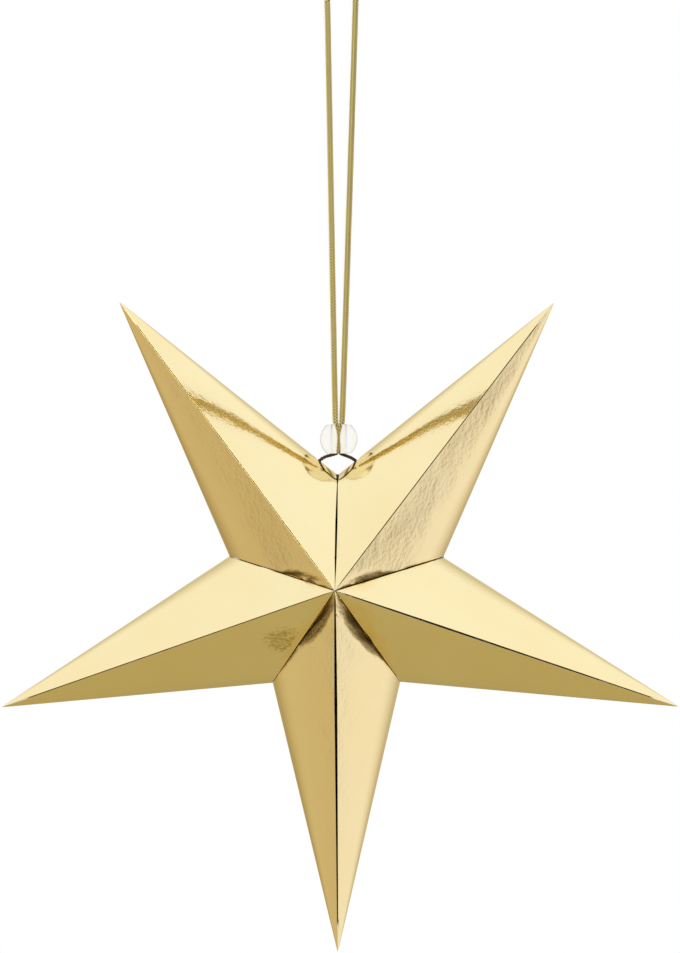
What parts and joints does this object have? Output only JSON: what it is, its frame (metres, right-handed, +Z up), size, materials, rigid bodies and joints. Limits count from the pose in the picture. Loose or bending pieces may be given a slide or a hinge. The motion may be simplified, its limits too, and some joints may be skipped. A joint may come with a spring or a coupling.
{
  "type": "hanging paper star",
  "caption": "Slim hanging star folded from mirror-gold foil card, with a gold braided cord loop that a clear bead cinches above the top notch.",
  "frame": {"origin": "inside the top of the cord's loop, where a hook or nail bears", "axes": "+Z up, the star's front faces -Y, +X towards the star's right side tip as seen from the front"},
  "size_m": [0.2971, 0.104, 0.4324],
  "materials": {
    "foil_card": "card faced with mirror-gold foil, faintly dimpled",
    "gold_cord": "braided metallic gold thread",
    "clear_bead": "clear polished plastic"
  },
  "bodies": {
    "root": {"top_left_arm_inner_leaf": "foil_card", "top_left_arm_outer_leaf": "foil_card", "top_right_arm_inner_leaf": "foil_card", "top_right_arm_outer_leaf": "foil_card", "left_arm_upper_leaf": "foil_card", "left_arm_lower_leaf": "foil_card", "right_arm_upper_leaf": "foil_card", "right_arm_lower_leaf": "foil_card", "bottom_arm_left_leaf": "foil_card", "bottom_arm_right_leaf": "foil_card", "hanging_cord": "gold_cord", "cord_knot_left": "gold_cord", "cord_knot_right": "gold_cord", "bead": "clear_bead"}
  },
  "joints": []
}
